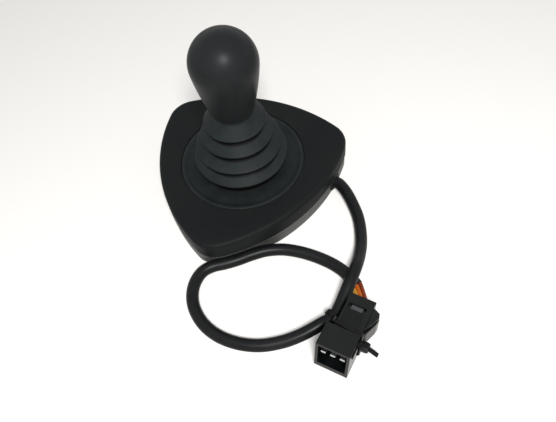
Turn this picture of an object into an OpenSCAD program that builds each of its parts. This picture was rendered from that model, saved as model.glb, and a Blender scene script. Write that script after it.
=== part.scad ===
// Two-axis industrial joystick: a drop-shaped knob on a sprung gimbal lever, a rubber
// bellows, a low three-cornered base and a captive cable with a three-pole plug.
// Millimetres, +Z up. The origin is the centre of the base's underside, and one corner
// of the base points along -Y.

/* [Base] */
// Middle of the base to the arc centre of each corner
corner_d = 47.4; // [45:0.2:56]
// Radius of each corner
corner_r = 16.4; // [14:0.2:20]
// Middle of the base to the arc centre of each side
side_e = 53.2; // [45:0.2:62]
// Height of the base, from the underside to the top of the cover
base_h = 22; // [21.5:0.5:30]
// Height of the lower pan
pan_h = 13; // [12.5:0.25:14]
// How far the pan stands in from the cover at its top
pan_in = 1.6; // [1.2:0.1:2.2]
// How much further it stands in at the floor
pan_taper = 2.6; // [1:0.1:4]
// Wall of the pan and of the cover's skirt
wall = 2.4; // [1.8:0.1:3]
// Thickness of the pan's floor
floor_t = 2.4; // [1.8:0.1:3]
// Thickness of the cover's top plate
plate_t = 2.6; // [2:0.1:3.4]
// Rounding of the cover's top edge
edge_r = 2.6; // [1:0.1:3]
// Height of the seal between pan and cover
seal_t = 0.6; // [0.4:0.1:1]

/* [Fixings] */
// Middle of the base to each threaded mounting insert
insert_d = 54; // [52:0.5:56]
// Bore of a mounting insert, M5 before the thread
insert_bore = 4.2; // [3:0.1:5]
// Outside diameter of a mounting insert
insert_od = 7; // [6.4:0.1:8]
// Length of a mounting insert
insert_l = 8; // [6:0.5:10]
// Middle of the base to each screw post of the cover
post_d = 48; // [46:0.5:50]
// Angle of a screw post from the corner's own line
post_a = 10; // [9:0.5:11]
// Diameter of a cover screw
post_screw = 3; // [2.5:0.1:3.5]

/* [Boot] */
// Radius of each fold's crest, from the bottom fold up
crest_r = [27.6, 25, 20.7, 17.6];
// Height of each crest above the cover
crest_h = [7.4, 16.5, 25.1, 34.9];
// Depth of each fold
fold = 4.6; // [3:0.1:5.4]
// Thickness of the rubber wall, measured level
boot_wall = 1.6; // [1.2:0.1:2]
// Radius of the opening in the cover
mouth_r = 37.2; // [36:0.1:39]
// Width of the flange under the cover
flange_w = 6.3; // [6:0.1:6.6]
// Thickness of the flange, and of the ring that clamps it
flange_t = 2; // [1.5:0.1:2.4]

/* [Knob] */
// Greatest radius of the knob
knob_r = 18.1; // [16:0.1:24]
// Radius of the knob's foot
knob_foot = 12.2; // [11.5:0.1:15]
// Height of the knob's foot above the cover
knob_up = 43.1; // [43:0.1:60]
// Height of the knob's swelling part, foot to greatest radius
knob_rise = 31.7; // [28:0.1:40]
// Outside diameter of the brass insert in the knob
knob_insert_od = 11; // [10:0.2:13]
// Length of the brass insert in the knob
knob_insert_l = 19; // [14:0.5:22]

/* [Lever] */
// Diameter of the lever shaft
shaft_d = 10; // [9:0.1:11]
// Diameter of the shaft's threaded end
thread_d = 8; // [6:0.1:8.2]
// Largest tilt about each axis, in degrees
tilt = 18; // [10:0.5:20]
// Depth of the gimbal's centre below the top of the cover
pivot_drop = 3; // [2:0.25:4]
// Diameter of the gimbal pins
pin_d = 3; // [2.5:0.1:3.4]
// Radius of the lever hub
hub_r = 8.2; // [8:0.1:8.6]
// Height of the lever hub, half of it above the gimbal's centre
hub_h = 13; // [12:0.5:13.5]
// Inside radius of the gimbal ring
ring_in = 10.6; // [10.4:0.1:11.2]
// Radial thickness of the gimbal ring
ring_w = 3.9; // [3:0.1:4]
// Height of the gimbal ring
ring_h = 6; // [5.5:0.1:6.4]
// Diameter of the centring spring's wire
wire_d = 1.5; // [1:0.1:1.8]
// Number of turns of the centring spring
spring_turns = 6; // [4:1:7]

/* [Electronics] */
// Length of the circuit board
board_l = 30; // [29:0.5:32]
// Width of the circuit board
board_w = 28; // [26:0.5:30]
// Height of the board's underside above the pan's floor
board_up = 1.6; // [1.2:0.1:2]

/* [Cable and plug] */
// Diameter of the cable
cord_d = 7; // [6:0.1:7.2]
// Width of the plug at its mouth
plug_w = 18; // [17.6:0.1:19]
// Height of the plug
plug_h = 21.4; // [21:0.1:22.4]
// Length of the plug's hood
hood_l = 13.4; // [13:0.1:14]
// Length of the plug's rear block
rear_l = 21.8; // [21.4:0.1:23]
// Width of the plug's rear block
rear_w = 14; // [13.4:0.1:14.1]
// Tilt of the plug, its mouth up
plug_pitch = 8; // [7:0.25:9]
// Distance between neighbouring contacts
pitch = 5.08; // [4.5:0.01:5.2]

/* [Hidden] */
$fn = 64;

// Clearances
run_gap = 0.03;      // radial play of a pin in its bush
slip = 0.02;         // a fixed pin, screw or insert in its hole
touch = 0.05;        // two pieces of different bodies that rest on each other
free_gap = 0.6;      // play round what swings
lip_gap = 0.2;       // pan's lip inside the skirt
hole_gap = 0.3;      // a screw's shank or head in a hole that it passes through
boss_wall = 1.7;     // wall round an insert or a large screw
small_boss_wall = 1.2;
blind = 0.6;         // left under the end of a screw

// A cap screw's head, from its thread's diameter.
function head_r(d) = d * 0.9;
function head_h(d) = d * 0.6;

// The base's outline: three corner arcs joined by three long side arcs. The side
// opposite a corner is centred on that corner's own line.
arc_steps = 20;
corner_a = [30, 150, 270];
foot_edge = 0.8;
insert_cap = 1.6;    // pan over the end of an insert
insert_edge = 1;     // pan outside an insert, at the underside
// the corner arcs move out with an insert that would come too near the edge
corner_at = max(corner_d, insert_d + insert_od / 2 + insert_edge +
  pan_in + pan_taper + foot_edge - corner_r);
side_reach = sqrt(pow(corner_at, 2) + pow(side_e, 2) + corner_at * side_e);
side_r = side_reach + corner_r;
turn = atan2(corner_at * sin(120), corner_at * cos(120) - side_e) - 120;

function polar(r, a) = [r * cos(a), r * sin(a)];
function corner_point(k, i, inset) =
  polar(corner_at, corner_a[k]) +
  polar(corner_r - inset, corner_a[k] - turn + 2 * turn * i / arc_steps);
function side_point(k, i, inset) =
  polar(side_e, corner_a[k] - 120) +
  polar(side_r - inset, corner_a[k] + turn + (120 - 2 * turn) * i / arc_steps);
function outline(inset) = [
  for (k = [0:2], i = [0:2 * arc_steps - 1])
    i <= arc_steps ? corner_point(k, i, inset) : side_point(k, i - arc_steps, inset)
];
count = 6 * arc_steps;

// Heights of the base
skirt_z = pan_h + seal_t;
plate_z = base_h - plate_t;
seal_w = 0.9;
lip_t = 1.4;
lip_h = 2.5;
round_steps = 4;
post_r = post_screw / 2 + boss_wall;
post_sink = head_h(post_screw) + 0.4;
post_grip = 3;       // pan's thickness under a cover screw's head
post_foot = post_sink + post_grip;

// Boot
ring_t = flange_t + 0.4;
flange_z = plate_z - flange_t;
flange_r = mouth_r + flange_w;
ring_hole_d = mouth_r + flange_w / 2 + 0.3;
ring_screws = 6;
ring_screw_d = 2.5;
boot_boss_r = 2.3;
boot_lip = 2.4;      // flange's reach inside the opening
mouth_bevel = 0.5;
dish_z = base_h - 1.1;
bead_r = 1.2;
boot_root = crest_r[0] - fold + 1;

// Gimbal
shaft_r = shaft_d / 2;
thread_r = thread_d / 2;
pin_r = pin_d / 2;
pivot_z = base_h - pivot_drop;
ring_out = ring_in + ring_w;
bush_r = pin_r + 1.1;
bush_flange_r = bush_r + 0.9;
bush_flange_t = 1.2;
hub_flat = hub_r - 0.4;
hub_core = 3;        // hub between its two bushes, from the middle
tilt_both = acos(cos(tilt) * cos(tilt));
ring_swing = ring_out * sin(tilt) + ring_h / 2 * cos(tilt);
bush_gap = 0.3;
housing_in = ring_out + bush_flange_t + bush_gap;
housing_wall = 5;
housing_out = housing_in + housing_wall;
housing_foot = 7;
housing_flange_t = 2.4;
window_w = 14;
window_edge = 1.5;
housing_lug = 7.5;   // flange's reach outside the housing's wall
housing_flange_r = housing_out + housing_lug;
housing_screw_d = 25;
housing_screw = 3;
cap_t = 2.4;
cap_z = pivot_z + ring_swing + free_gap;
cap_top = cap_z + cap_t;
cap_hole = (cap_top - pivot_z) * tan(tilt_both) + shaft_r / cos(tilt_both) + free_gap;
hub_top = pivot_z + hub_h / 2;
shaft_z = pivot_z + bush_r + 0.4;
roll_pin_r = 1;
roll_pin_z = hub_top - 1.9;

// Stack on the lever, from the knob down
knob_z = base_h + knob_up;
nut_t = 4.5;
nut_af = 13;
nut_z = knob_z - nut_t - touch;
sleeve_r = knob_foot - boot_wall - 0.4;
sleeve_h = 10;
sleeve_z = knob_z - sleeve_h;
clip_t = 1.2;
groove = 0.7;        // depth of the clip's groove
clip_z = sleeve_z - clip_t;
collar_t = 2.4;
collar_z = clip_z - collar_t;
collar_r = sleeve_r - 0.4;
stud_top = knob_z + knob_insert_l - 1;
spring_r1 = cap_hole + wire_d / 2 + 0.3;
spring_r2 = shaft_r + wire_d / 2 + 1.2;
spring_steps = 20;

// Magnet and board
board_t = 1.6;
board_z = floor_t + board_up;
board_top = board_z + board_t;
sensor = [4, 5];
chip = [3.4, 3, 1.2];
capacitor_r = 2;
capacitor_h = 2.6;
sensor_t = 1.2;
sensor_top = board_top + sensor_t;
holder_r = 5;
magnet_r = 3.5;
magnet_t = 2.5;
// the holder's rim clears the sensor when the lever is tilted both ways at once
holder_low = pivot_z -
  (pivot_z - sensor_top - free_gap - holder_r * sin(tilt_both)) / cos(tilt_both);
// the holder keeps its height, and the hub comes down to it
holder_h = 4;
hub_low = holder_low + holder_h;
hub_l = hub_top - hub_low;
spigot_r = 3;
spigot_l = 3;
stand_x = board_l / 2 - 2.8;
stand_y = board_w / 2 - 2.8;
board_screw = 2;
header_l = 5;
header_edge = 0.6;
header_x = board_l / 2 - header_l - header_edge;
header_w = 10;
header_h = 4;
wire_pitch = 2.9;
wire_up = 1.4;
wire_r = 0.7;
wire_fan = 1.75;     // between the cores where they leave the cable

// Cable: where it leaves the pan, its pad, and its route. The route's points lie on
// the cable's own axis: inside the base, out of its side, over its own end, round a
// loose loop on the table, along the base and to the plug.
cord_r = cord_d / 2;
cord_z = 6.5;
exit_a = -11;
exit_in = 1.4;
exit_p = polar(side_e, corner_a[1]) + polar(side_r - exit_in, exit_a);
pad_l = 6;
pad_r = 6.2;
grommet_r = 4.9;
grommet_flange_r = 5.6;
grommet_flange_t = 1.4;
clamp_back = 17;
clamp_l = 6;
clamp_off = cord_r + 2.9;     // cable's axis to a clamp screw
clamp_screw = 2.5;
clamp_ear = 2.6;     // clamp's ear beyond its screw
clamp_rib = 3;       // rib of the pan under the cable
clamp_t = 1.6;       // clamp's ears
clamp_top = 1.5;     // clamp over the cable
route = [
  [34.5, 11, 6.5], [44.5, 9, 6.5], [56.5, 6.6, 6.5], [60.5, 4.4, 6.2], [65, 0.2, 5.4],
  [69.5, -5.5, 4.5], [74, -12.5, 3.8], [77.5, -21, 3.6], [80, -31, 4.6], [81, -41, 7.6],
  [81, -50, 11.2], [80.2, -58, 11.6], [79, -66, 9.8], [78, -72.5, 8.5], [76.8, -78, 8],
  [74.2, -82, 8.2], [70.8, -85.3, 8.1], [67, -89, 7.4], [61.5, -93.5, 6],
  [53.5, -98.6, 4.5], [43, -103.2, 3.7], [31.5, -105.2, 3.6], [20, -104.2, 3.6],
  [10, -100.2, 3.6], [2, -93.4, 3.6], [-2.6, -85.6, 3.6], [-4, -77.6, 3.6],
  [-2.4, -70.4, 3.6], [2, -65.6, 3.6], [8.4, -62, 3.6], [14.8, -57.8, 3.6],
  [21.6, -52.6, 3.6], [29, -48, 3.6], [38, -45, 3.6], [47.5, -44.2, 3.6],
  [56.5, -44.8, 3.6], [65, -46.4, 3.6], [72, -48.8, 3.6], [77.6, -52.2, 3.9],
  [81.6, -55.6, 3.9]
];
cord_start = route[0];
cord_end = route[len(route) - 1];
function unit(v) = v / norm(v);
end_dir = unit(cord_end - route[len(route) - 2]);

// Plug: its mouth's middle in plan and its turn. It stands on its rear edge, and the
// strap round the cable holds its mouth up.
plug_p = [81, -106.5];
plug_a = -10;
plug_wall = 1.5;
plug_floor = 3.2;    // hood's wall under the socket
contact_z = 13.8;
contact_w = 2.8;
contact_t = 1.4;
socket_depth = 11.5;
rear_h = plug_h - 1.2;
rear_x = plug_w / 2 - rear_w;
lead_mid = rear_x + 4.6;
plug_rear = hood_l + rear_l;
latch_gap = 3.4;     // room for the strap in front of the latch
rear_rim = 5.8;      // raised rim along the rear
latch_y = hood_l + latch_gap;
latch_l = rear_l - latch_gap - rear_rim;
latch_in = 1.6;      // rear block's rim beside the latch
latch_w = 9.6;
latch_sink = 1.6;
latch_t = 1.3;
latch_tab = 3;       // latch's thin tab, seen in front of the rim
latch_tab_t = 0.4;
arm_z = 6;           // side arm's lower edge
arm_h = 10;
rib_w = 0.8;         // rib along the hood's side
rib_h = 2;
rib_y = 3;
rib_down = 6;
lead_r = 0.9;
lead_z = 10.5;
lead_in = 2.35;
lead_out = 3;
end_sleeve_l = 7;
end_sleeve_t = 0.3;
end_sleeve_over = 2;
tie_w = 2.6;
tie_t = 1.1;
tie_y = hood_l + tie_w / 2 + 0.4;
tie_cord_x = -16.3;
tie_cord_z = 6.2;
tie_cord_r = 5.85;
rear_low = tie_t + 0.4;
plug_lift = plug_rear * sin(plug_pitch) - rear_low * cos(plug_pitch);
tie_head = [4.4, tie_w + 2, 4.6];
tie_head_z = 7;
tie_tail_l = 5.5;
tie_tail_t = 1.2;

// ---------------------------------------------------------------- shared shapes

// Solid through levels of [height, inset] of the base's outline.
module loft(levels) {
  points = [for (l = levels, p = outline(l[1])) [p[0], p[1], l[0]]];
  last = (len(levels) - 1) * count;
  sides = [
    for (l = [0:len(levels) - 2], i = [0:count - 1])
      let (a = l * count + i, b = l * count + (i + 1) % count)
        [a, a + count, b + count, b]
  ];
  under = [for (i = [0:count - 1]) i];
  above = [for (i = [0:count - 1]) last + count - 1 - i];
  polyhedron(points, concat([under], sides, [above]));
}

// Flat band between two insets of the outline.
module band(inset_out, inset_in, z, h) {
  translate([0, 0, z])
    linear_extrude(h)
      difference() {
        polygon(outline(inset_out));
        polygon(outline(inset_in));
      }
}

function heading(path, i) = unit(path[min(i + 1, len(path) - 1)] - path[max(i - 1, 0)]);
function across(path, i) = unit(cross(heading(path, i), [0, 0, 1]));

// Round tube along a path, one ring of points at each of the path's points.
module tube(path, r, sides) {
  n = len(path);
  points = [
    for (i = [0:n - 1])
      let (s = across(path, i), u = cross(s, heading(path, i)))
        for (k = [0:sides - 1])
          path[i] + r * (cos(360 * k / sides) * s + sin(360 * k / sides) * u)
  ];
  skin = [
    for (i = [0:n - 2], k = [0:sides - 1])
      let (a = i * sides + k, b = i * sides + (k + 1) % sides)
        each [[a, b, b + sides], [a, b + sides, a + sides]]
  ];
  start = [for (k = [0:sides - 1]) sides - 1 - k];
  finish = [for (k = [0:sides - 1]) (n - 1) * sides + k];
  polyhedron(points, concat([start], skin, [finish]));
}

// Cap screw standing on its head's underside at z = 0, its shank downwards.
module screw(d, shank) {
  difference() {
    union() {
      cylinder(r = head_r(d), h = head_h(d));
      translate([0, 0, -shank])
        cylinder(d = d, h = shank);
    }
    translate([0, 0, head_h(d) / 2])
      cylinder(d = d * 0.8, h = head_h(d), $fn = 6);
  }
}

module at_corners() {
  for (a = corner_a)
    rotate([0, 0, a])
      children();
}

module at_posts() {
  for (a = corner_a, s = [-1, 1])
    rotate([0, 0, a + s * post_a])
      translate([post_d, 0, 0])
        children();
}

module at_ring_screws() {
  for (k = [0:ring_screws - 1])
    rotate([0, 0, 360 * k / ring_screws])
      translate([ring_hole_d, 0, 0])
        children();
}

module at_housing_screws() {
  for (k = [0:3])
    rotate([0, 0, 45 + 90 * k])
      translate([housing_screw_d, 0, 0])
        children();
}

module at_board_screws() {
  for (x = [-1, 1], y = [-1, 1])
    translate([x * stand_x, y * stand_y, 0])
      children();
}

// The cable's exit: +X outwards along the cable, the pad's face at x = 0.
module at_exit() {
  translate([exit_p[0], exit_p[1], cord_z])
    rotate([0, 0, exit_a])
      children();
}

module at_clamp_screws() {
  at_exit()
    for (s = [-1, 1])
      translate([-clamp_back, s * clamp_off, 0])
        children();
}

// The plug: its mouth in the plane y = 0, its body towards +Y.
module at_plug() {
  translate([plug_p[0], plug_p[1], plug_lift])
    rotate([-plug_pitch, 0, plug_a])
      children();
}

// ---------------------------------------------------------------- base

// The pan's outside, filled.
module pan_outside() {
  loft([[0, pan_in + pan_taper + foot_edge], [foot_edge, pan_in + pan_taper],
    [pan_h, pan_in]]);
}

module base_pan() {
  color([0.22, 0.22, 0.23])
    difference() {
      union() {
        difference() {
          union() {
            pan_outside();
            at_exit()
              rotate([0, -90, 0])
                cylinder(r = pad_r, h = pad_l);
          }
          difference() {
            translate([0, 0, floor_t])
              loft([[0, pan_in + pan_taper + wall], [pan_h - floor_t, pan_in + wall],
                [pan_h, pan_in + wall]]);
            at_exit()
              rotate([0, -90, 0])
                cylinder(r = pad_r, h = pad_l);
          }
        }
        band(wall + lip_gap, wall + lip_gap + lip_t, pan_h - 1, lip_h + 1);
        intersection() {
          pan_outside();
          at_corners()
            translate([insert_d, 0, 0])
              cylinder(d = insert_od + 2 * boss_wall, h = insert_l + insert_cap);
        }
        at_posts()
          cylinder(r = post_r + 1, h = post_foot);
        at_housing_screws()
          cylinder(d = housing_screw + 2 * boss_wall, h = housing_foot);
        at_board_screws()
          cylinder(d = board_screw + 2 * small_boss_wall, h = board_z);
        at_clamp_screws()
          translate([0, 0, -cord_z])
            cylinder(d = clamp_screw + 2 * small_boss_wall, h = cord_z);
        at_exit()
          translate([-clamp_back - clamp_l / 2, -clamp_rib / 2, -cord_z])
            cube([clamp_l, clamp_rib, cord_z - cord_r - 2 * touch]);
      }
      at_exit()
        rotate([0, -90, 0]) {
          translate([0, 0, -1])
            cylinder(r = grommet_r, h = pad_l + 2);
          translate([0, 0, pad_l])
            cylinder(r = grommet_flange_r + touch, h = grommet_flange_t + touch);
        }
      at_corners()
        translate([insert_d, 0, -1])
          cylinder(d = insert_od, h = insert_l + 1);
      at_posts()
        translate([0, 0, -1]) {
          cylinder(d = post_screw + hole_gap, h = post_foot + 2);
          cylinder(r = head_r(post_screw) + hole_gap, h = post_sink + 1);
        }
      at_housing_screws()
        translate([0, 0, floor_t])
          cylinder(d = housing_screw + 2 * slip, h = housing_foot);
      at_board_screws()
        translate([0, 0, floor_t / 2])
          cylinder(d = board_screw + 2 * slip, h = board_z);
      at_clamp_screws()
        translate([0, 0, -cord_z + floor_t / 2])
          cylinder(d = clamp_screw + 2 * slip, h = cord_z);
    }
}

module top_cover() {
  color([0.14, 0.15, 0.15])
    difference() {
      union() {
        difference() {
          loft(concat([[skirt_z, 0]], [
            for (i = [0:round_steps])
              let (a = 90 * i / round_steps)
                [base_h - edge_r + edge_r * sin(a), edge_r * (1 - cos(a))]
          ]));
          translate([0, 0, skirt_z - 1])
            linear_extrude(plate_z - skirt_z + 1)
              polygon(outline(wall));
        }
        at_posts()
          translate([0, 0, post_foot])
            cylinder(r = post_r, h = plate_z - post_foot + 1);
        at_ring_screws()
          translate([0, 0, flange_z])
            cylinder(r = boot_boss_r, h = flange_t + 1);
      }
      translate([0, 0, plate_z - 1])
        cylinder(r = mouth_r, h = plate_t + 2);
      translate([0, 0, base_h - mouth_bevel])
        cylinder(r1 = mouth_r, r2 = mouth_r + 2 * mouth_bevel, h = 2 * mouth_bevel);
      at_posts()
        translate([0, 0, post_foot - 1])
          cylinder(d = post_screw + 2 * slip, h = plate_z - post_foot);
      at_ring_screws()
        translate([0, 0, flange_z - 1])
          cylinder(d = ring_screw_d + 2 * slip, h = flange_t + 2);
    }
}

module base_seal() {
  color([0.05, 0.05, 0.05])
    band(pan_in + slip, pan_in + seal_w, pan_h, seal_t);
}

module mounting_inserts() {
  color([0.78, 0.62, 0.32])
    at_corners()
      translate([insert_d, 0, 0])
        difference() {
          cylinder(d = insert_od - 2 * slip, h = insert_l);
          translate([0, 0, -1])
            cylinder(d = insert_bore, h = insert_l + 2);
        }
}

module cover_screws() {
  shank = plate_z - post_sink - post_grip;
  color([0.6, 0.6, 0.62])
    at_posts()
      translate([0, 0, post_sink])
        rotate([180, 0, 0])
          screw(post_screw, shank);
}

// ---------------------------------------------------------------- boot

// Outside of the bellows, from the neck down. Its height falls all the way.
valley_drop = 0.36;  // a valley's height below its crest, as a share of the pitch
function fold_points(k) =
  let (r = crest_r[k], z = base_h + crest_h[k],
    below = k == 0 ? dish_z : base_h + crest_h[k - 1],
    valley = k == 0 ? boot_root : min(r, crest_r[k - 1]) - fold,
    dip = z - (z - below) * valley_drop)
    concat([[r - 0.8, z + 0.7], [r, z], [r - 0.6, z - 0.8]],
      k == 0 ? [[valley, z - (z - below) * 0.6]] : [[valley, dip + 0.5], [valley, dip - 0.5]]);
bellows = concat([[knob_foot - 0.4, knob_z - 0.3], [knob_foot - 0.4, knob_z - 1.6]],
  [for (k = [3:-1:0]) each fold_points(k)], [[boot_root, dish_z - boot_wall]]);

module rubber_boot() {
  inner = [for (i = [len(bellows) - 1:-1:0]) bellows[i] - [boot_wall, 0]];
  color([0.2, 0.21, 0.21])
    difference() {
      union() {
        rotate_extrude($fn = 96)
          polygon(concat(bellows, inner));
        translate([0, 0, dish_z - boot_wall])
          rotate_extrude($fn = 96)
            translate([boot_root - boot_wall, 0])
              square([mouth_r - touch - boot_root + boot_wall, boot_wall]);
        rotate_extrude($fn = 96)
          translate([mouth_r - bead_r - touch, dish_z])
            circle(r = bead_r, $fn = 24);
        translate([0, 0, flange_z])
          rotate_extrude($fn = 96)
            translate([mouth_r - boot_lip, 0])
              square([boot_lip - touch, dish_z - flange_z]);
        translate([0, 0, flange_z])
          rotate_extrude($fn = 96)
            translate([mouth_r - boot_lip, 0])
              square([flange_w + boot_lip, flange_t]);
      }
      at_ring_screws()
        translate([0, 0, flange_z - 1])
          cylinder(r = boot_boss_r + hole_gap, h = flange_t + 2);
      at_posts()
        translate([0, 0, flange_z - 1])
          cylinder(r = post_r + hole_gap, h = flange_t + 2);
    }
}

module boot_ring() {
  color([0.55, 0.56, 0.58])
    difference() {
      translate([0, 0, flange_z - ring_t])
        difference() {
          cylinder(r = flange_r, h = ring_t);
          translate([0, 0, -1])
            cylinder(r = mouth_r - boot_lip, h = ring_t + 2);
        }
      at_ring_screws()
        translate([0, 0, flange_z - ring_t - 1])
          cylinder(d = ring_screw_d + hole_gap, h = ring_t + 2);
      at_posts()
        translate([0, 0, flange_z - ring_t - 1])
          cylinder(r = post_r + hole_gap, h = ring_t + 2);
    }
}

module boot_ring_screws() {
  color([0.6, 0.6, 0.62])
    at_ring_screws()
      translate([0, 0, flange_z - ring_t])
        rotate([180, 0, 0])
          screw(ring_screw_d, ring_t + flange_t);
}

// ---------------------------------------------------------------- gimbal

module gimbal_housing() {
  window_z = housing_foot + housing_flange_t + window_edge;
  color([0.1, 0.1, 0.11])
    difference() {
      union() {
        translate([0, 0, housing_foot])
          cylinder(r = housing_flange_r, h = housing_flange_t);
        translate([0, 0, housing_foot])
          cylinder(r = housing_out, h = cap_top - housing_foot);
      }
      translate([0, 0, housing_foot - 1])
        cylinder(r = housing_in, h = cap_z - housing_foot + 1);
      translate([0, 0, cap_z - 1])
        cylinder(r = cap_hole, h = cap_t + 2);
      for (k = [0:3])
        rotate([0, 0, 45 + 90 * k])
          translate([housing_in - 2, -window_w / 2, window_z])
            cube([housing_wall + 4, window_w, cap_z - window_edge - window_z]);
      translate([0, 0, pivot_z])
        rotate([0, 90, 0])
          cylinder(r = bush_r, h = 2 * housing_out + 2, center = true);
      at_housing_screws()
        translate([0, 0, housing_foot - 1])
          cylinder(d = housing_screw + hole_gap, h = housing_flange_t + 2);
    }
}

module housing_screws() {
  color([0.6, 0.6, 0.62])
    at_housing_screws()
      translate([0, 0, housing_foot + housing_flange_t])
        screw(housing_screw, housing_flange_t + housing_foot - floor_t - blind);
}

// Flanged bush along +X, its flange's outer face at x = 0 and its body beyond it.
module bush(body_l, flange_t) {
  rotate([0, 90, 0])
    difference() {
      union() {
        cylinder(r = bush_flange_r, h = flange_t);
        cylinder(r = bush_r, h = flange_t + body_l);
      }
      translate([0, 0, -1])
        cylinder(r = pin_r + run_gap, h = flange_t + body_l + 2);
    }
}

module outer_bushes() {
  seat = sqrt(pow(housing_in, 2) - pow(bush_flange_r, 2));
  color([0.72, 0.52, 0.3])
    for (a = [0, 180])
      rotate([0, 0, a])
        intersection() {
          translate([ring_out + bush_gap, 0, pivot_z])
            bush(housing_wall, bush_flange_t - (housing_in - seat));
          cylinder(r = housing_out, h = cap_top);
        }
}

module gimbal_ring() {
  color([0.62, 0.63, 0.65])
    translate([0, 0, pivot_z])
      difference() {
        cylinder(r = ring_out, h = ring_h, center = true);
        cylinder(r = ring_in, h = ring_h + 2, center = true);
        for (a = [0, 90])
          rotate([0, 90, a])
            cylinder(r = pin_r + slip, h = 2 * ring_out + 2, center = true);
      }
}

module outer_pins() {
  pin_l = housing_out - ring_in - 1;
  color([0.75, 0.76, 0.78])
    for (a = [0, 180])
      rotate([0, 0, a])
        translate([ring_in + 0.5, 0, pivot_z])
          rotate([0, 90, 0])
            cylinder(r = pin_r, h = pin_l);
}

module inner_pin() {
  color([0.75, 0.76, 0.78])
    translate([0, 0, pivot_z])
      rotate([90, 0, 0])
        cylinder(r = pin_r, h = 2 * ring_out - 0.6, center = true);
}

module lever_hub() {
  chamfer = 1.2;
  color([0.5, 0.51, 0.53])
    difference() {
      translate([0, 0, hub_low]) {
        cylinder(r1 = hub_r - chamfer, r2 = hub_r, h = chamfer);
        translate([0, 0, chamfer])
          cylinder(r = hub_r, h = hub_l - 2 * chamfer);
        translate([0, 0, hub_l - chamfer])
          cylinder(r1 = hub_r, r2 = hub_r - chamfer, h = chamfer);
      }
      for (s = [-1, 1])
        translate([-hub_r, s * (hub_flat + hub_r) - hub_r, hub_low - 1])
          cube([2 * hub_r, 2 * hub_r, hub_l + 2]);
      translate([0, 0, pivot_z])
        rotate([90, 0, 0])
          cylinder(r = bush_r, h = 2 * hub_r + 2, center = true);
      translate([0, 0, shaft_z])
        cylinder(r = shaft_r, h = hub_l);
      translate([0, 0, hub_low - 1])
        cylinder(r = spigot_r, h = spigot_l + 1);
      translate([0, 0, roll_pin_z])
        rotate([0, 90, 0])
          cylinder(r = roll_pin_r, h = 2 * hub_r + 2, center = true);
    }
}

module inner_bushes() {
  color([0.72, 0.52, 0.3])
    for (a = [90, -90])
      rotate([0, 0, a])
        translate([hub_flat + bush_flange_t, 0, pivot_z])
          rotate([0, 0, 180])
            bush(hub_flat - hub_core, bush_flange_t);
}

module lever_shaft() {
  color([0.78, 0.79, 0.8])
    difference() {
      union() {
        translate([0, 0, shaft_z])
          cylinder(r = shaft_r, h = nut_z - shaft_z);
        translate([0, 0, nut_z - 1])
          cylinder(r = thread_r, h = stud_top - nut_z + 1);
      }
      translate([0, 0, clip_z])
        difference() {
          cylinder(r = shaft_r + 1, h = clip_t);
          cylinder(r = shaft_r - groove, h = clip_t);
        }
      translate([0, 0, roll_pin_z])
        rotate([0, 90, 0])
          cylinder(r = roll_pin_r, h = shaft_d + 2, center = true);
    }
}

module hub_roll_pin() {
  color([0.45, 0.46, 0.48])
    translate([0, 0, roll_pin_z])
      rotate([0, 90, 0])
        difference() {
          cylinder(r = roll_pin_r - slip, h = 2 * hub_r - 1.6, center = true);
          cylinder(r = roll_pin_r * 0.5, h = 2 * hub_r, center = true);
        }
}

module magnet_holder() {
  color([0.9, 0.9, 0.86])
    difference() {
      union() {
        translate([0, 0, holder_low])
          cylinder(r = holder_r, h = hub_low - holder_low);
        translate([0, 0, hub_low - 0.5])
          cylinder(r = spigot_r - slip, h = spigot_l);
      }
      translate([0, 0, holder_low - 1])
        cylinder(r = magnet_r, h = magnet_t + 1);
    }
}

module magnet() {
  color([0.7, 0.71, 0.74])
    translate([0, 0, holder_low])
      cylinder(r = magnet_r - slip, h = magnet_t);
}

// ---------------------------------------------------------------- spring and neck

module centring_spring() {
  n = spring_turns * spring_steps;
  low = cap_top + wire_d / 2 + touch;
  high = collar_z - wire_d / 2 - touch;
  helix = [
    for (i = [0:n])
      let (t = i / n, r = spring_r1 + (spring_r2 - spring_r1) * t)
        [r * cos(360 * i / spring_steps), r * sin(360 * i / spring_steps),
          low + (high - low) * (t - sin(360 * t) / 12)]
  ];
  color([0.66, 0.67, 0.7])
    tube(helix, wire_d / 2, 8);
}

module spring_collar() {
  color([0.3, 0.31, 0.33])
    translate([0, 0, collar_z])
      difference() {
        cylinder(r = collar_r, h = collar_t);
        translate([0, 0, -1])
          cylinder(r = shaft_r + slip, h = collar_t + 2);
      }
}

module collar_clip() {
  color([0.5, 0.51, 0.52])
    translate([0, 0, clip_z + slip])
      difference() {
        cylinder(r = shaft_r + 2, h = clip_t - 2 * slip);
        translate([0, 0, -1])
          cylinder(r = shaft_r - groove + slip, h = clip_t + 2);
        translate([-shaft_r * 0.7, 0, -1])
          cube([shaft_r * 1.4, shaft_r + 4, clip_t + 2]);
      }
}

module neck_sleeve() {
  color([0.12, 0.12, 0.13])
    difference() {
      translate([0, 0, sleeve_z])
        cylinder(r = sleeve_r, h = sleeve_h - 0.3);
      translate([0, 0, sleeve_z - 1])
        cylinder(r = shaft_r + slip, h = sleeve_h + 2);
      translate([0, 0, nut_z])
        cylinder(r = nut_af / 2 / cos(30) + 0.4, h = nut_t + 1);
    }
}

module lock_nut() {
  color([0.7, 0.71, 0.72])
    translate([0, 0, nut_z])
      difference() {
        cylinder(r = nut_af / 2 / cos(30), h = nut_t, $fn = 6);
        translate([0, 0, -1])
          cylinder(r = thread_r + slip, h = nut_t + 2);
      }
}

// ---------------------------------------------------------------- knob

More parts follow.
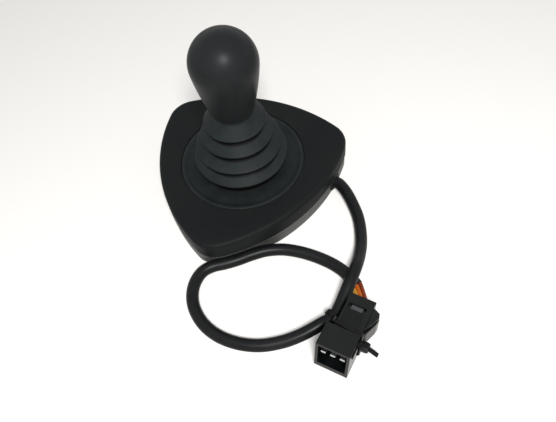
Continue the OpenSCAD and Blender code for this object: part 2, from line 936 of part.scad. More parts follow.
// Side of the knob: it swells from the foot, fast at first, to the greatest radius,
// and a ball closes it.
knob_steps = 14;
swell = 1.32;
knob_mid = knob_z + knob_rise;
knob_side = [
  for (i = [0:knob_steps])
    let (s = i / knob_steps)
      [knob_foot + (knob_r - knob_foot) * (1 - pow(1 - s, swell)), knob_z + knob_rise * s]
];
knob_top = [
  for (i = [1:knob_steps])
    let (a = 90 * i / knob_steps)
      [knob_r * cos(a), knob_mid + knob_r * sin(a)]
];

module knob() {
  color([0.18, 0.19, 0.19])
    difference() {
      rotate_extrude($fn = 96)
        polygon(concat([[0, knob_z], [knob_foot - 0.5, knob_z], [knob_foot, knob_z + 0.5]],
          [for (i = [1:knob_steps]) knob_side[i]], knob_top));
      translate([0, 0, knob_z - 1])
        cylinder(d = knob_insert_od, h = knob_insert_l + 1);
      translate([0, 0, knob_z])
        cylinder(r = thread_r + 0.2, h = knob_insert_l + 2);
    }
}

module knob_insert() {
  color([0.8, 0.65, 0.35])
    translate([0, 0, knob_z])
      difference() {
        cylinder(d = knob_insert_od - 2 * slip, h = knob_insert_l);
        translate([0, 0, -1])
          cylinder(r = thread_r + slip, h = knob_insert_l + 2);
      }
}

// ---------------------------------------------------------------- electronics

module circuit_board() {
  color([0.1, 0.35, 0.2])
    difference() {
      union() {
        translate([-board_l / 2, -board_w / 2, board_z])
          cube([board_l, board_w, board_t]);
        for (y = [-1, 1])
          translate([-board_l / 3, y * board_w / 4 - chip[1] / 2, board_top - 0.1])
            cube(chip);
        translate([-board_l / 8, board_w / 3.5, board_top - 0.1])
          cylinder(r = capacitor_r, h = capacitor_h);
      }
      at_board_screws()
        translate([0, 0, board_z - 1])
          cylinder(d = board_screw + hole_gap, h = board_t + 2);
    }
}

module hall_sensor() {
  color([0.08, 0.08, 0.09])
    translate([-sensor[0] / 2, -sensor[1] / 2, board_top])
      cube([sensor[0], sensor[1], sensor_t]);
}

module board_screws() {
  color([0.7, 0.71, 0.72])
    at_board_screws()
      translate([0, 0, board_top])
        screw(board_screw, board_top - floor_t / 2 - blind);
}

module board_header() {
  color([0.92, 0.9, 0.84])
    translate([header_x, -header_w / 2, board_top])
      difference() {
        cube([header_l, header_w, header_h]);
        for (y = [-1:1])
          translate([1, header_w / 2 + y * wire_pitch - 1, wire_up - 1.2])
            cube([header_l, 2, 2.2]);
      }
}

module core_wires() {
  along = unit(route[1] - cord_start);
  side = [-along[1], along[0], 0];
  out_x = header_x + header_l;
  middle = [(out_x + 3 + cord_start[0]) / 2, cord_start[1] / 2];
  color([0.8, 0.45, 0.15])
    for (y = [-1:1])
      tube([[header_x + 1.6, y * wire_pitch, board_top + wire_up],
        [out_x + 0.6, y * wire_pitch, board_top + wire_up - 0.6],
        [out_x + 3, y * wire_pitch, housing_foot - 1.5],
        [middle[0], middle[1] + y * wire_pitch, housing_foot - 1.6],
        cord_start - 3 * along + y * wire_pitch * side,
        cord_start - 1.4 * along + y * wire_fan * side,
        cord_start - 0.1 * along + y * wire_fan * side], wire_r, 8);
}

// ---------------------------------------------------------------- cable in the base

module cable_clamp() {
  color([0.5, 0.51, 0.53])
    at_exit()
      difference() {
        union() {
          translate([-clamp_back - clamp_l / 2, -clamp_off - clamp_ear, 0])
            cube([clamp_l, 2 * (clamp_off + clamp_ear), clamp_t]);
          translate([-clamp_back - clamp_l / 2, -clamp_off + hole_gap, 0])
            cube([clamp_l, 2 * (clamp_off - hole_gap), cord_r + clamp_top]);
        }
        translate([-clamp_back - clamp_l, 0, 0])
          rotate([0, 90, 0])
            cylinder(r = cord_r + touch, h = 2 * clamp_l);
        for (s = [-1, 1])
          translate([-clamp_back, s * clamp_off, -1]) {
            cylinder(d = clamp_screw + hole_gap, h = cord_r + clamp_top + 2);
            translate([0, 0, clamp_t + 1])
              cylinder(r = head_r(clamp_screw) + slip, h = cord_r + clamp_top);
          }
      }
}

module clamp_screws() {
  color([0.6, 0.6, 0.62])
    at_clamp_screws()
      translate([0, 0, clamp_t])
        screw(clamp_screw, clamp_t + cord_z - floor_t / 2 - blind);
}

module cable_grommet() {
  color([0.06, 0.06, 0.06])
    at_exit()
      rotate([0, -90, 0])
        difference() {
          union() {
            translate([0, 0, -grommet_flange_t])
              cylinder(r = grommet_flange_r, h = grommet_flange_t);
            cylinder(r = grommet_r - slip, h = pad_l);
            translate([0, 0, pad_l])
              cylinder(r = grommet_flange_r, h = grommet_flange_t);
          }
          translate([0, 0, -grommet_flange_t - 1])
            cylinder(r = cord_r + touch, h = pad_l + 2 * grommet_flange_t + 2);
        }
}

module cable() {
  color([0.12, 0.12, 0.13])
    tube(route, cord_r, 12);
}

// ---------------------------------------------------------------- plug

// A point given in the plug's own axes, in the part's frame.
function from_plug(p) =
  let (y = p[1] * cos(plug_pitch) + p[2] * sin(plug_pitch))
    [
      plug_p[0] + p[0] * cos(plug_a) - y * sin(plug_a),
      plug_p[1] + p[0] * sin(plug_a) + y * cos(plug_a),
      plug_lift + p[2] * cos(plug_pitch) - p[1] * sin(plug_pitch)
    ];

module cable_end_sleeve() {
  color([0.05, 0.05, 0.05])
    translate(cord_end)
      rotate([0, 90, atan2(end_dir[1], end_dir[0])])
        difference() {
          translate([0, 0, end_sleeve_over - end_sleeve_l])
            cylinder(r = cord_r + end_sleeve_t, h = end_sleeve_l);
          translate([0, 0, -end_sleeve_l])
            cylinder(r = cord_r + touch, h = end_sleeve_l + 2 * touch);
          for (y = [-1:1])
            translate([0, y * lead_in, -1])
              cylinder(r = lead_r + slip, h = end_sleeve_l);
        }
}

module connector_leads() {
  side = [-end_dir[1], end_dir[0], 0];
  color([0.9, 0.5, 0.1])
    for (y = [-1:1])
      tube([cord_end + 0.3 * end_dir + y * lead_in * side,
        cord_end + 3 * end_dir + y * lead_in * side,
        from_plug([lead_mid + y * lead_out, plug_rear + 5, lead_z - 1]),
        from_plug([lead_mid + y * lead_out, plug_rear + 2, lead_z]),
        from_plug([lead_mid + y * lead_out, plug_rear - 3, lead_z])], lead_r, 8);
}

// Spring arm on the plug's side, from its root behind the strap to its thumb tab.
module side_arm() {
  polygon([[-0.5, 4.4], [1, 4.4], [1.6, 5.4], [4, 12.5], [4.4, 15.5], [3.2, 17.5],
    [2.2, 16.4], [2.6, 13.5], [0.9, 7.6], [-0.5, 7]]);
}

module connector_housing() {
  color([0.1, 0.11, 0.11])
    at_plug()
      difference() {
        union() {
          translate([-plug_w / 2, 0, 0])
            cube([plug_w, hood_l, plug_h]);
          translate([rear_x, hood_l, rear_low])
            cube([rear_w, rear_l, rear_h - rear_low]);
          translate([plug_w / 2, hood_l, arm_z])
            linear_extrude(arm_h)
              side_arm();
          translate([plug_w / 2, rib_y, plug_h - rib_down])
            cube([rib_w, hood_l - rib_y, rib_h]);
        }
        translate([-plug_w / 2 + plug_wall, -1, plug_floor])
          cube([plug_w - 2 * plug_wall, socket_depth + 1, plug_h - plug_floor - plug_wall]);
        translate([rear_x + latch_in, latch_y, rear_h - latch_sink])
          cube([latch_w, latch_l, latch_sink + 1]);
        for (x = [-1:1]) {
          translate([x * pitch - contact_w / 2, socket_depth - 1, contact_z - contact_t / 2])
            cube([contact_w, 3, contact_t]);
          translate([lead_mid + x * lead_out, plug_rear - 4, lead_z])
            rotate([-90, 0, 0])
              cylinder(r = lead_r + touch, h = 5);
        }
      }
}

module connector_contacts() {
  color([0.85, 0.86, 0.88])
    at_plug()
      for (x = [-1:1])
        translate([x * pitch - contact_w / 2 + slip, 1, contact_z - contact_t / 2 + slip])
          cube([contact_w - 2 * slip, socket_depth + 1, contact_t - 2 * slip]);
}

module connector_latch() {
  plate_l = latch_l - latch_tab - 2 * slip;
  color([0.12, 0.14, 0.14])
    at_plug()
      translate([rear_x + latch_in + slip, latch_y + slip, rear_h - latch_sink]) {
        cube([latch_w - 2 * slip, plate_l, latch_t]);
        translate([latch_w / 6, plate_l - latch_tab_t, 0])
          cube([latch_w * 2 / 3, latch_tab + latch_tab_t, latch_tab_t]);
      }
}

// Section of the strap's inside: tight round the rear block and the cable beside it.
module tie_section(grow) {
  hull() {
    translate([rear_x - grow, rear_low - grow])
      square([rear_w + 2 * grow, rear_h - rear_low + 2 * grow]);
    translate([tie_cord_x, tie_cord_z])
      circle(r = tie_cord_r + grow, $fn = 48);
  }
}

module cable_tie() {
  x1 = plug_w / 2 + touch;
  color([0.08, 0.08, 0.08])
    at_plug()
      translate([0, tie_y, 0]) {
        rotate([90, 0, 0])
          linear_extrude(tie_w, center = true)
            difference() {
              tie_section(touch + tie_t);
              tie_section(touch);
            }
        translate([x1 + tie_t / 2, -tie_head[1] / 2, tie_head_z])
          cube(tie_head);
        translate([x1 + tie_t / 2 + tie_head[0] - 1, -tie_w / 2, tie_head_z + 0.8])
          rotate([0, 25, 0])
            cube([tie_tail_l + 1, tie_w, tie_tail_t]);
      }
}

base_pan();
top_cover();
base_seal();
mounting_inserts();
cover_screws();
rubber_boot();
boot_ring();
boot_ring_screws();
gimbal_housing();
housing_screws();
outer_bushes();
gimbal_ring();
outer_pins();
inner_pin();
lever_hub();
inner_bushes();
lever_shaft();
hub_roll_pin();
magnet_holder();
magnet();
centring_spring();
spring_collar();
collar_clip();
neck_sleeve();
lock_nut();
knob();
knob_insert();
circuit_board();
hall_sensor();
board_screws();
board_header();
core_wires();
cable_clamp();
clamp_screws();
cable_grommet();
cable();
cable_end_sleeve();
connector_leads();
connector_housing();
connector_contacts();
connector_latch();
cable_tie();
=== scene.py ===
import math
import bpy
import numpy as np
from mathutils import Matrix, Vector


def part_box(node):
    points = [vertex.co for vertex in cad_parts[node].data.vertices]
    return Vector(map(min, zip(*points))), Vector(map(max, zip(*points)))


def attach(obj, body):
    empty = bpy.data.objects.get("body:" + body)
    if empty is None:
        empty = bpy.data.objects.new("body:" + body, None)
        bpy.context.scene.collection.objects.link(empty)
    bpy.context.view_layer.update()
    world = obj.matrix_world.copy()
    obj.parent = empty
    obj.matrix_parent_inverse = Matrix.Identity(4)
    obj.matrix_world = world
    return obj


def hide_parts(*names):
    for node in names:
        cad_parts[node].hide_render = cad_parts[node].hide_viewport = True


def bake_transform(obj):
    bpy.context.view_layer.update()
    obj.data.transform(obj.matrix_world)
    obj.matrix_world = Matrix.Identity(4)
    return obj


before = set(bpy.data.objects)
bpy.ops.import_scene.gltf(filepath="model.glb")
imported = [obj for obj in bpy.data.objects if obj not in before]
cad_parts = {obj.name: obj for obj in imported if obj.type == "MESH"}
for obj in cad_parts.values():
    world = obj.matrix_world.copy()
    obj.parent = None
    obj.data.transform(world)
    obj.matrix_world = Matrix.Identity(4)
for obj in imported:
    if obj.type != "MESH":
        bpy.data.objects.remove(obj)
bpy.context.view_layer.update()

# ---- Camera
# A hand-held camera, high in front of the joystick and a little to its right, looking
# down on it and rolled slightly, with a lens a little longer than normal.
stands_at, lens = (0.1060, -0.2025, 0.2980), 38.38
look_down, roll, heading = (math.radians(angle) for angle in (56.01, -7.78, 23.39))
level = Vector((1, 0, 0))
ahead = Vector((0, math.cos(look_down), -math.sin(look_down)))
above = Vector((0, math.sin(look_down), math.cos(look_down)))
turned = Matrix.Rotation(heading, 3, "Z")
right = turned @ (level * math.cos(roll) + above * math.sin(roll))
top = turned @ (above * math.cos(roll) - level * math.sin(roll))
eye = bpy.data.objects.new("eye", bpy.data.cameras.new("eye"))
eye.data.lens = lens
eye.data.clip_start = 0.01
eye_axes = Matrix((right, top, -(turned @ ahead))).transposed()
eye.matrix_world = Matrix.Translation(stands_at) @ eye_axes.to_4x4()
bpy.context.scene.collection.objects.link(eye)
bpy.context.scene.camera = eye


# ---- Cable
# A flexible three-core control cable, 7 mm over its extruded soft PVC jacket. It is
# gripped inside the base, leaves through a grommet, lies in one loose loop over its own
# end, and is strapped to the plug.
MM = 0.001


def linear(code):
    """The linear red, green, blue and alpha of an sRGB hex colour."""
    c = np.array([int(code[i:i + 2], 16) for i in (0, 2, 4)]) / 255
    c = np.where(c <= 0.04045, c / 12.92, ((c + 0.055) / 1.055) ** 2.4)
    return (*c, 1.0)


def add(tree, kind, links=None, **settings):
    """Adds a shader node: a setting whose name is one of the node's own properties goes
    there, and any other goes to the input socket of that name, with _ for a space.
    links gives, for an input's name or number, the output that feeds it."""
    node = tree.nodes.new(kind)
    for name, value in settings.items():
        if hasattr(node, name):
            setattr(node, name, value)
        else:
            node.inputs[name.replace("_", " ")].default_value = value
    for name, source in (links or {}).items():
        tree.links.new(source, node.inputs[name])
    return node


def finish_of(name, colour, worn, rough, grain, depth, mottle=12.0, level=0.3,
              metallic=0.0, spread=0.08, coat=0.0, stretch=(1, 1, 1), painted_shade=None):
    """A material whose colour drifts from `colour` to `worn` in patches `mottle` mm
    across, whose roughness drifts by `spread` with the same patches, and whose surface
    carries a grain of `grain` mm, `depth` mm deep. level is how strongly a plastic
    shines, and coat how much clear gloss lies over it. stretch draws the grain out.
    The last argument is the colour of painted shade, which the piece's own attribute
    of the same name, 0 to 1, brings in.
    Moulded and drawn grains are 0.05 to 0.2 mm in life, too fine to show here, so
    each is drawn several times as coarse and very shallow."""
    made = bpy.data.materials.new(name)
    made.use_nodes = True
    tree = made.node_tree
    tree.nodes.clear()
    place = add(tree, "ShaderNodeTexCoord").outputs["Object"]
    patches = add(tree, "ShaderNodeTexNoise", {"Vector": place}, Scale=1 / (mottle * MM),
                  Detail=4.0, Roughness=0.55).outputs["Fac"]
    drawn = add(tree, "ShaderNodeMapping", {"Vector": place}, Scale=stretch)
    grains = add(tree, "ShaderNodeTexNoise", {"Vector": drawn.outputs[0]},
                 Scale=1 / (grain * MM), Detail=2.0, Roughness=0.6).outputs["Fac"]
    colours = add(tree, "ShaderNodeValToRGB", {"Fac": patches})
    fresh, rubbed = colours.color_ramp.elements
    fresh.position, rubbed.position = 0.35, 0.72
    fresh.color, rubbed.color = linear(colour), linear(worn)
    colour_out = colours.outputs[0]
    # painted shade: the colour darkens towards the given one where the attribute asks
    if painted_shade:
        painted_shade_amount = add(tree, "ShaderNodeAttribute", attribute_name="painted_shade")
        blended = add(tree, "ShaderNodeMix", {0: painted_shade_amount.outputs["Fac"], 6: colour_out},
                      data_type="RGBA")
        blended.inputs[7].default_value = linear(painted_shade)
        colour_out = blended.outputs[2]
    roughness = add(tree, "ShaderNodeMapRange", {"Value": patches}, From_Min=0.3,
                    From_Max=0.7, To_Min=rough - spread, To_Max=rough + spread)
    bump = add(tree, "ShaderNodeBump", {"Height": grains}, Strength=1.0,
               Distance=depth * MM)
    shader = add(tree, "ShaderNodeBsdfPrincipled",
                 {"Base Color": colour_out, "Roughness": roughness.outputs[0],
                  "Normal": bump.outputs[0]}, Metallic=metallic, Coat_Weight=coat,
                 Coat_Roughness=0.2)
    if not metallic:
        shader.inputs["Specular IOR Level"].default_value = level
    add(tree, "ShaderNodeOutputMaterial", {"Surface": shader.outputs[0]})
    return made


def skin(name, grid, around, along, caps=(False, False), crease=35):
    """Mesh of a grid of points, rows by columns: a face joins each four neighbours,
    around closes each row on itself and along joins the last row to the first. A cap
    closes an open end with a fan about its middle. All faces are turned outwards, which
    the sign of the closed volume shows. Edges sharper than `crease` degrees stay sharp."""
    rows, columns = grid.shape[:2]
    index = np.arange(rows * columns).reshape(rows, columns)
    if around:
        index = np.hstack([index, index[:, :1]])
    if along:
        index = np.vstack([index, index[:1]])
    quads = np.stack([index[:-1, :-1], index[:-1, 1:], index[1:, 1:], index[1:, :-1]],
                     axis=-1).reshape(-1, 4)
    points, fans = grid.reshape(-1, 3), []
    for wanted, row, order in ((caps[0], index[0], 1), (caps[1], index[-1], -1)):
        if wanted:
            points = np.vstack([points, points[row[:-1]].mean(axis=0)])
            middle = np.full(len(row) - 1, len(points) - 1)
            fans.append(np.stack([row[1:], row[:-1]][::order] + [middle], axis=-1))
    triangles = np.vstack([quads[:, :3], quads[:, [0, 2, 3]], *fans])
    a, b, c = (points[triangles[:, corner]] for corner in range(3))
    outwards = -1 if np.einsum("ij,ij->", a, np.cross(b, c)) < 0 else 1
    faces = [face for group in (quads, *fans) for face in group[:, ::outwards].tolist()]
    mesh = bpy.data.meshes.new(name)
    mesh.from_pydata((points * MM).tolist(), [], faces)
    mesh.polygons.foreach_set("use_smooth", [True] * len(mesh.polygons))
    mesh.set_sharp_from_angle(angle=math.radians(crease))
    mesh.update()
    piece = bpy.data.objects.new(name, mesh)
    bpy.context.scene.collection.objects.link(piece)
    return piece


def smooth_line(points, step):
    """Cubic curve through the points: between two of them it is the Hermite cubic whose
    slopes are half the difference of the neighbours on both sides. Sampled `step` apart."""
    p = np.vstack([2 * points[0] - points[1], points, 2 * points[-1] - points[-2]])
    pieces = []
    for i in range(1, len(p) - 2):
        t = np.linspace(0, 1, max(2, round(np.linalg.norm(p[i + 1] - p[i]) / step)),
                        endpoint=False)[:, None]
        from_slope, to_slope = (p[i + 1] - p[i - 1]) / 2, (p[i + 2] - p[i]) / 2
        pieces.append((2 * t**3 - 3 * t**2 + 1) * p[i] + (t**3 - 2 * t**2 + t) * from_slope
                      + (3 * t**2 - 2 * t**3) * p[i + 1] + (t**3 - t**2) * to_slope)
    return np.vstack(pieces + [points[-1:]])


def carried_circle(line, radius, sides):
    """Grid of a circle carried along a line: ring i is centred on the line's point i, in
    the plane square to the line there, point k at centre + radius (cos a * side + sin a
    * up), with side level."""
    ahead = np.gradient(line, axis=0)
    ahead /= np.linalg.norm(ahead, axis=1)[:, None]
    side = np.cross(ahead, [0, 0, 1])
    side /= np.linalg.norm(side, axis=1)[:, None]
    up = np.cross(side, ahead)
    a = np.linspace(0, 2 * np.pi, sides, endpoint=False)[None, :, None]
    return line[:, None] + radius * (np.cos(a) * side[:, None] + np.sin(a) * up[:, None])


cord_r = 3.5
# from the clamp in the base, out and down to the paper, over the cable's own end, round
# the loop under the cover's front edge, and back to the plug's rear
route = np.array([
    [34.5, 11, 6.5], [44.5, 9, 6.5], [56.5, 6.6, 6.5], [60.5, 4.4, 6.2], [65, 0.2, 5.4],
    [69.5, -5.5, 4.5], [74, -12.5, 3.8], [77.5, -21, 3.6], [80, -31, 4.6],
    [81, -41, 7.6], [81, -50, 11.2], [80.2, -58, 11.6], [79, -66, 9.8],
    [78, -72.5, 8.5], [76.8, -78, 8], [74.2, -82, 8.2], [70.8, -85.3, 8.1],
    [67, -89, 7.4], [61.5, -93.5, 6], [53.5, -98.6, 4.5], [43, -103.2, 3.7],
    [31.5, -105.2, 3.6], [20, -104.2, 3.6], [10, -100.2, 3.6], [2, -93.4, 3.6],
    [-2.6, -85.6, 3.6], [-4, -77.6, 3.6], [-2.4, -70.4, 3.6], [2, -65.6, 3.6],
    [8.4, -62, 3.6], [14.8, -57.8, 3.6], [21.6, -52.6, 3.6], [29, -48, 3.6],
    [38, -45, 3.6], [47.5, -44.2, 3.6], [56.5, -44.8, 3.6], [65, -46.4, 3.6],
    [72, -48.8, 3.6], [77.6, -52.2, 3.9], [81.6, -55.6, 3.9]])
cord_line = smooth_line(route, 1.2)
# soft PVC straight from the die: a satin line of light along the cable, broken up where
# handling has dulled it, over a black that turns slightly grey in patches
jacket = finish_of("extruded soft PVC jacket", "111213", "1A1B1C", 0.36, 0.9, 0.012,
                   mottle=16, level=0.14)
cable = skin("cable_jacket", carried_circle(cord_line, cord_r, 32), True, False,
             (True, True))
cable.data.materials.append(jacket)
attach(cable, "base")
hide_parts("cable")

# ---- Floor and light
# White paper under the part, a soft lamp high in front of it, close to where the camera
# is, and an even white tent round it. The paper looks white and keeps the shadow.
paper_half, paper_drop = 3000, 0.02
bpy.context.scene.view_settings.view_transform = "Standard"
# matt paper with a little light of its own in the camera's rays, so that it reads as
# white without more light on the part
paper = bpy.data.materials.new("white paper")
paper.use_nodes = True
tree = paper.node_tree
tree.nodes.clear()
seen = add(tree, "ShaderNodeLightPath")
matt = add(tree, "ShaderNodeBsdfDiffuse", Color=linear("F2F0EC"))
own = add(tree, "ShaderNodeEmission", {"Strength": seen.outputs["Is Camera Ray"]},
          Color=(0.2, 0.2, 0.2, 1))
both = add(tree, "ShaderNodeAddShader", {0: matt.outputs[0], 1: own.outputs[0]})
add(tree, "ShaderNodeOutputMaterial", {"Surface": both.outputs[0]})
across = np.linspace(-paper_half, paper_half, 9)
floor_grid = np.stack(np.meshgrid(across, across, [-paper_drop], indexing="ij"),
                      axis=-1)[:, :, 0]
floor = skin("floor", floor_grid, False, False)
if floor.data.polygons[0].normal.z < 0:
    floor.data.flip_normals()
floor.data.materials.append(paper)

sky = bpy.data.worlds.new("tent")
bpy.context.scene.world = sky
sky.use_nodes = True
tree = sky.node_tree
tree.nodes.clear()
seen = add(tree, "ShaderNodeLightPath")
direct = add(tree, "ShaderNodeMath", {0: seen.outputs["Is Camera Ray"],
             1: seen.outputs["Is Glossy Ray"]}, operation="MAXIMUM")
direct = add(tree, "ShaderNodeMath", {0: direct.outputs[0],
             1: seen.outputs["Is Transmission Ray"]}, operation="MAXIMUM")
strength = add(tree, "ShaderNodeMapRange", {"Value": direct.outputs[0]}, To_Min=0.25,
               To_Max=1.0)
air = add(tree, "ShaderNodeBackground", {"Strength": strength.outputs[0]},
          Color=(1, 1, 1, 1))
add(tree, "ShaderNodeOutputWorld", {"Surface": air.outputs[0]})
lamp_at, lamp_towards = Vector((0.229, -0.39, 0.65)), Vector((0, 0, 0.05))
lamp = bpy.data.objects.new("window", bpy.data.lights.new("window", "AREA"))
lamp.data.size, lamp.data.energy = 0.16, 5.6
lamp_turn = (lamp_towards - lamp_at).to_track_quat("-Z", "Y").to_matrix()
lamp.matrix_world = Matrix.Translation(lamp_at) @ lamp_turn.to_4x4()
bpy.context.scene.collection.objects.link(lamp)


# ---- Cover
# The upper half of the base, injection-moulded in black ABS with a fine spark-eroded
# texture: three rounded corners joined by slow curves, a rounded top edge, a plain skirt
# that laps the pan, and a round mouth with a small bevel that the boot fills.
cover_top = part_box("top_cover")[1][2] / MM
edge_r, roof_z, mouth_r = 2.6, 19.4, 37.2
skirt_wall, lap_wall, lap_z, lap_top = 2.4, 1.35, 10.5, 13.3
blunt = 0.35


def base_outline(inset, corner_steps=26, side_steps=34):
    """Three corner arcs joined by three long side arcs that meet them without a kink,
    every radius less the inset, in millimetres."""
    corner_d, corner_r, side_e = 47.4, 16.4, 53.2
    third = 2 * math.pi / 3
    side_r = math.sqrt(corner_d**2 + side_e**2 + corner_d * side_e) + corner_r
    turn = math.atan2(corner_d * math.sin(third), corner_d * math.cos(third) - side_e) - third
    arcs = []
    for corner in np.radians([30, 150, 270]):
        for distance, towards, radius, start, sweep, steps in (
                (corner_d, corner, corner_r, corner - turn, 2 * turn, corner_steps),
                (side_e, corner - third, side_r, corner + turn, third - 2 * turn,
                 side_steps)):
            a = start + sweep * np.arange(steps) / steps
            arcs.append(distance * np.array([math.cos(towards), math.sin(towards)])
                        + (radius - inset) * np.stack([np.cos(a), np.sin(a)], axis=-1))
    return np.vstack(arcs)


def at_height(ring, z):
    """A flat ring of points, set at a height."""
    return np.column_stack([ring, np.full(len(ring), z)])


plan = base_outline(4.0)
bearing = np.arctan2(plan[:, 1], plan[:, 0])


def round_ring(radius):
    """A circle whose points lie on the same bearings as the base's outline."""
    return radius * np.stack([np.cos(bearing), np.sin(bearing)], axis=-1)


# outside, from the skirt's lower edge up and over the rounded edge to the mouth
levels = [at_height(base_outline(blunt), lap_z), at_height(base_outline(0), lap_z + blunt),
          at_height(base_outline(0), 16.0)]
levels += [at_height(base_outline(edge_r * (1 - math.cos(a))),
                     cover_top - edge_r + edge_r * math.sin(a))
           for a in np.linspace(0, math.pi / 2, 9)]
rim, mouth = base_outline(edge_r), round_ring(mouth_r + 0.3)
levels += [at_height(rim + (mouth - rim) * t, cover_top) for t in (0.05, 0.3, 0.6, 0.95, 1)]
# down through the mouth's bevel, and back inside to the lower edge
levels += [at_height(round_ring(mouth_r + 0.12), cover_top - 0.07),
           at_height(round_ring(mouth_r), cover_top - 0.25),
           at_height(round_ring(mouth_r), roof_z), at_height(base_outline(skirt_wall), roof_z),
           at_height(base_outline(skirt_wall), lap_top + 0.3),
           at_height(base_outline(lap_wall), lap_top), at_height(base_outline(lap_wall), lap_z)]
cover = skin("cover_shell", np.array(levels), True, True)
# spark-eroded texture: a soft, even black that spreads the lamp into a broad dull sheen
# and brightens only along the rounded edge
moulded = finish_of("moulded black ABS, fine texture", "16191A", "1C1E1E", 0.5, 0.8,
                    0.03, mottle=26, level=0.07)
cover.data.materials.append(moulded)
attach(cover, "base")
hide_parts("top_cover")

# ---- Wall of the pan
# The lower half's visible wall, moulded with the pan, in a mid grey that is a painted
# reflection of the white paper: straight, a hair inside the cover's skirt, with a rounded
# foot. It runs inside the pan's own wall, and is drawn in at the front, where the cable
# lies against it.
drawn_by, front_from, front_to = 3.0, -96, -50
# the wall's section: how far in from the outline, at what height, and which share of the
# drawing-in each step takes
wall_steps = np.array([(3.0, 10.1, 0), (0.75, 10.1, 0), (0.45, 9.8, 0), (0.45, 7.6, 0.35),
                       (0.5, 6.8, 0.8), (0.5, 4.0, 1), (0.55, 1.6, 1), (0.8, 0.7, 1),
                       (1.6, 0.15, 0.8), (4.6, 0.12, 0), (5.2, 0.8, 0), (5.2, 1.5, 0),
                       (3.4, 9.5, 0)])
outline = base_outline(0.0)
inwards = base_outline(1.0) - outline
bearings = np.degrees(np.arctan2(outline[:, 1], outline[:, 0]))
# 0 outside the front, rising to 1 within 12 or 13 degrees, eased at both ends
at_front = np.clip(np.minimum((bearings - front_from) / 12, (front_to - bearings) / 13), 0, 1)
drawn_in = drawn_by * at_front**2 * (3 - 2 * at_front)
wall_rings = [at_height(outline + inwards * (inset + share * drawn_in)[:, None], z)
              for inset, z, share in wall_steps]
pan_wall = skin("pan_wall", np.array(wall_rings), True, True)
# the same texture, in a flat mid grey under the black cover: a painted reflection of the paper
pan_painted_reflection = finish_of("pan wall ABS with painted reflection", "505150", "5E5E5B", 0.5, 0.8, 0.03,
                     mottle=24, level=0.25)
pan_wall.data.materials.append(pan_painted_reflection)
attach(pan_wall, "base")

# ---- Boot
# A moulded EPDM bellows: four conical skirts that overlap like tiles, a flat dish with a
# bead round it under the cover's mouth, and a flange clamped by a ring. It is drawn in two
# halves, upper and lower, which part at a root.
flange_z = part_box("rubber_boot")[0][2] / MM
flange_r, neck_top = (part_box("rubber_boot")[1][k] / MM for k in (0, 2))
neck_r, wall, dish_z, bead_r = 11.8, 1.6, 20.9, 37.12
# radius and height of each skirt's crest, and of the root under it, from the top down
crests = [(17.6, 56.9), (20.7, 47.1), (25.0, 38.5), (27.6, 29.4)]
roots = [(13.0, 53.4), (16.1, 44.0), (20.4, 35.2), (24.0, 23.8)]
# the root at which the two halves part
halves_meet = (20.4, 34.6)


def filleted(corners):
    """Rounds each corner (r, z, size) of an open profile with the parabola that leaves
    the one side `size` before the corner and meets the other `size` after it."""
    p = np.array(corners, float)
    out = [p[0, :2]]
    for before, here, after in zip(p[:-2], p[1:-1], p[2:]):
        back, on = before[:2] - here[:2], after[:2] - here[:2]
        share = [min(here[2], 0.45 * np.linalg.norm(v)) / np.linalg.norm(v)
                 for v in (back, on)]
        start, end = here[:2] + share[0] * back, here[:2] + share[1] * on
        t = np.linspace(0, 1, 6)[:, None]
        out += list((1 - t)**2 * start + 2 * t * (1 - t) * here[:2] + t**2 * end)
    return np.array(out + [p[-1, :2]])


def revolved(profile, count=144, seam=0.0):
    """Grid of a profile (r, z) turned round the upright axis: row i is its point i, and
    r grows by `seam` on the mould's parting line, at 120 and -60 degrees from +X."""
    a = np.linspace(0, 2 * np.pi, count, endpoint=False)
    parting = seam * np.isclose(np.mod(a, np.pi), 2 * np.pi / 3, atol=np.pi / count / 2)
    r, z = profile[:, 0, None] + parting, profile[:, 1, None]
    return np.stack([r * np.cos(a), r * np.sin(a), z + 0 * a], axis=-1)


def fold(crest, root):
    """One skirt from the top down: out over the crest, down its standing rim, under it
    and back in to the root of the next."""
    (r, z), (root_r, root_z) = crest, root
    return [(r - 0.8, z + 0.7, 0.5), (r, z, 0.25), (r - 0.2, z - 1.5, 0.25),
            (r - 1.0, z - 1.9, 0.3), (root_r, root_z + 0.4, 0.6), (root_r, root_z - 0.4, 0.5)]


def closer(profile, step):
    """The same profile with points added on its straight stretches, `step` apart."""
    whole = [profile[:1]]
    for start, end in zip(profile[:-1], profile[1:]):
        parts = max(1, math.ceil(np.linalg.norm(end - start) / step))
        whole.append(start + (end - start) * (np.arange(1, parts + 1) / parts)[:, None])
    return np.vstack(whole)


# the upper half: the neck, and three skirts down to the root where the halves part
upper = [(neck_r, neck_top, 0), (neck_r, neck_top - 1.3, 0.8)]
for crest, root in zip(crests[:3], roots[:3]):
    upper += fold(crest, root)
upper = filleted(upper[:-1] + [(*halves_meet, 0)])
# the lower half: the last skirt, the dish, the bead in the mouth, and the flange
lower = filleted([(*halves_meet, 0), *fold(crests[3], roots[3])[:4],
                  (23.0, 24.3, 1.0), (24.0, dish_z, 0.5), (33.6, dish_z, 1.0),
                  (35.4, 21.75, 0.9), (36.5, 21.8, 0.6), (bead_r, 21.3, 0.3),
                  (bead_r, 19.4, 0.2), (flange_r, 19.4, 0.2), (flange_r, flange_z, 0.2),
                  (34.8, flange_z, 0.2), (34.8, 19.3, 0.2), (23.2, 19.3, 0)])
inner_upper = upper[::-1] - [wall, 0]
upper, lower = closer(upper, 0.6), closer(lower, 0.6)
inner_lower = np.array([(21.4, 24.0), (25.9, 29.0), (25.6, 29.7), (18.8, 34.6)])
# light doesn't get under a lip: from each root, the next skirt stays dark out to here
dark_to = (15.4, 19.0, 22.9, 24.2)


